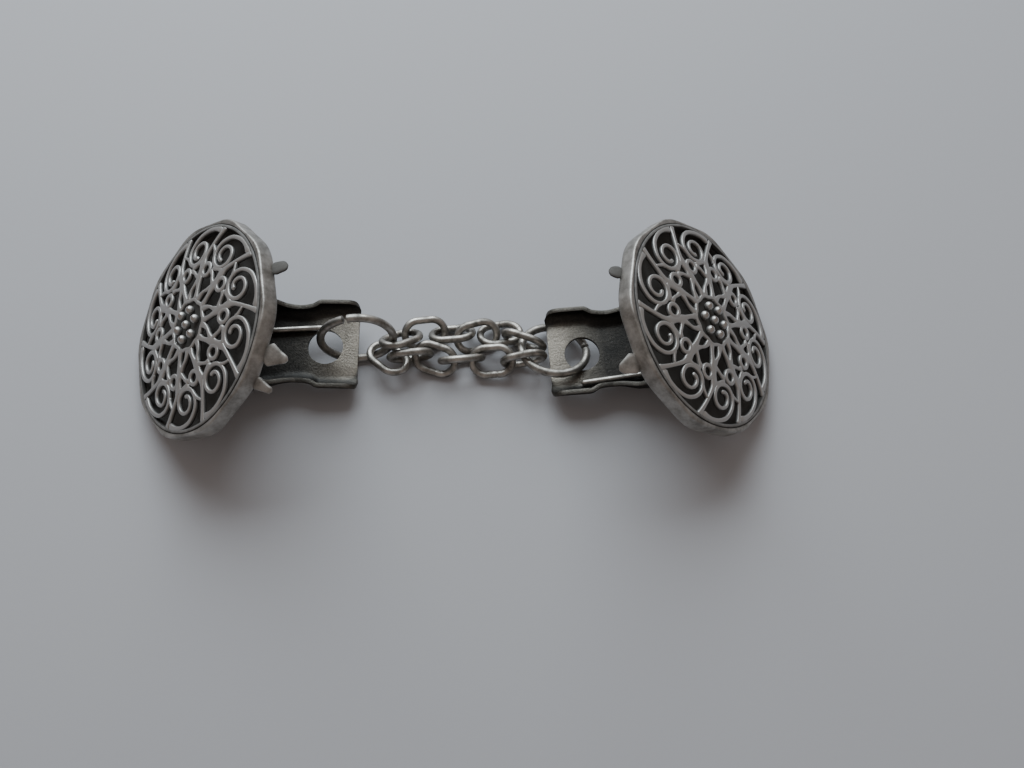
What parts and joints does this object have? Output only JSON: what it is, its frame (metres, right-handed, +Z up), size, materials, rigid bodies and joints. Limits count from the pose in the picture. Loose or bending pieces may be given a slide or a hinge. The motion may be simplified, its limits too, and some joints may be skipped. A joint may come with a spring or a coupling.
{
  "type": "sweater clip",
  "caption": "Sweater clip lying on a table: two round filigree medallions on sprung sheet-metal clips, joined by a short double chain of oval links between round end rings.",
  "frame": {"origin": "on the table, under the middle of the clip's bounding box", "axes": "+X along the chain from the left medallion to the right one, +Y away from the camera, +Z up from the table"},
  "size_m": [0.0884, 0.0303, 0.0221],
  "materials": {
    "medallion_alloy": "worn antique silver, pale satin strands over near-black recesses",
    "clip_steel": "darkened plate, worn bright at the tab's end",
    "spring_steel": "drawn wire, slightly dulled",
    "chain_steel": "tumbled wire with dark seams"
  },
  "bodies": {
    "levers_and_chain": {"left_lever": "clip_steel", "right_lever": "clip_steel", "left_spring": "spring_steel", "right_spring": "spring_steel", "left_end_ring": "chain_steel", "right_end_ring": "chain_steel", "far_link_1": "chain_steel", "far_link_2": "chain_steel", "far_link_3": "chain_steel", "far_link_4": "chain_steel", "far_link_5": "chain_steel", "far_link_6": "chain_steel", "near_link_1": "chain_steel", "near_link_2": "chain_steel", "near_link_3": "chain_steel", "near_link_4": "chain_steel", "near_link_5": "chain_steel", "near_link_6": "chain_steel"},
    "left_medallion": {"left_bezel": "medallion_alloy", "left_filigree": "medallion_alloy", "left_clip_base": "clip_steel", "left_hinge_pin": "clip_steel"},
    "right_medallion": {"right_bezel": "medallion_alloy", "right_filigree": "medallion_alloy", "right_clip_base": "clip_steel", "right_hinge_pin": "clip_steel"}
  },
  "joints": [
    {"name": "left_clip_hinge", "type": "hinge", "parent": "levers_and_chain", "child": "left_medallion", "pos_m": [-0.02851, 0.0011, 0.00528], "axis": [0.0143, 0.9903, 0.1385], "range_deg": [0, 28], "stiffness_Nm_per_rad": 0.1, "springref_deg": -28.65, "deforming": ["left_spring"]},
    {"name": "right_clip_hinge", "type": "hinge", "parent": "levers_and_chain", "child": "right_medallion", "pos_m": [0.02836, 0.00095, 0.00525], "axis": [0.0852, -0.993, -0.0823], "range_deg": [0, 28], "stiffness_Nm_per_rad": 0.1, "springref_deg": -28.65, "deforming": ["right_spring"]}
  ]
}
